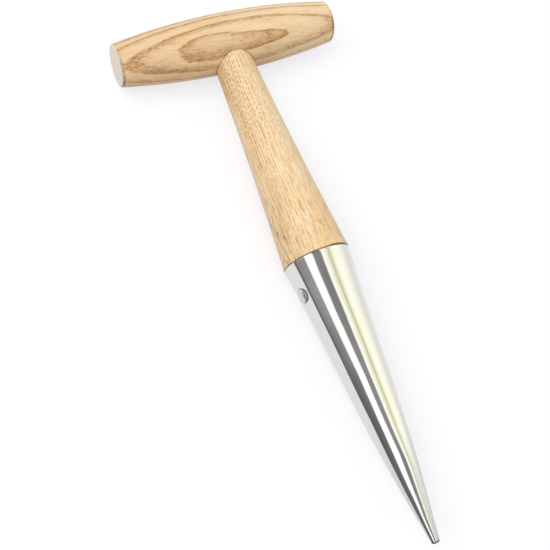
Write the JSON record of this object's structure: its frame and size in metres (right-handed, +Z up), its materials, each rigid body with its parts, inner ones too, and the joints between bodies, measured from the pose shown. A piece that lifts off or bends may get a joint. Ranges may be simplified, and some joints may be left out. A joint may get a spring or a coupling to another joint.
{
  "type": "t-handled dibber",
  "caption": "Hand dibber with a barrel-shaped wooden cross grip, a tapered wooden shaft and a hollow pointed steel socket riveted to it, for pressing planting holes in soil.",
  "frame": {"origin": "on the floor that the tool lies on, under the middle of its bounding box", "axes": "+Z up from the floor, +X along the cross grip, +Y along the shaft from the point towards the grip"},
  "size_m": [0.117, 0.2803, 0.0334],
  "materials": {
    "grip_wood": "turned ash, smooth, thin satin lacquer",
    "shaft_wood": "turned ash, straight grain, thin satin lacquer",
    "point_steel": "stainless steel, polished bright along its length",
    "rivet_steel": "stainless steel, domed and polished",
    "pin_steel": "plain drawn steel wire"
  },
  "bodies": {
    "root": {"cross_grip": "grip_wood", "shaft": "shaft_wood", "steel_point": "point_steel", "socket_rivet": "rivet_steel", "grip_pin": "pin_steel"}
  },
  "joints": []
}
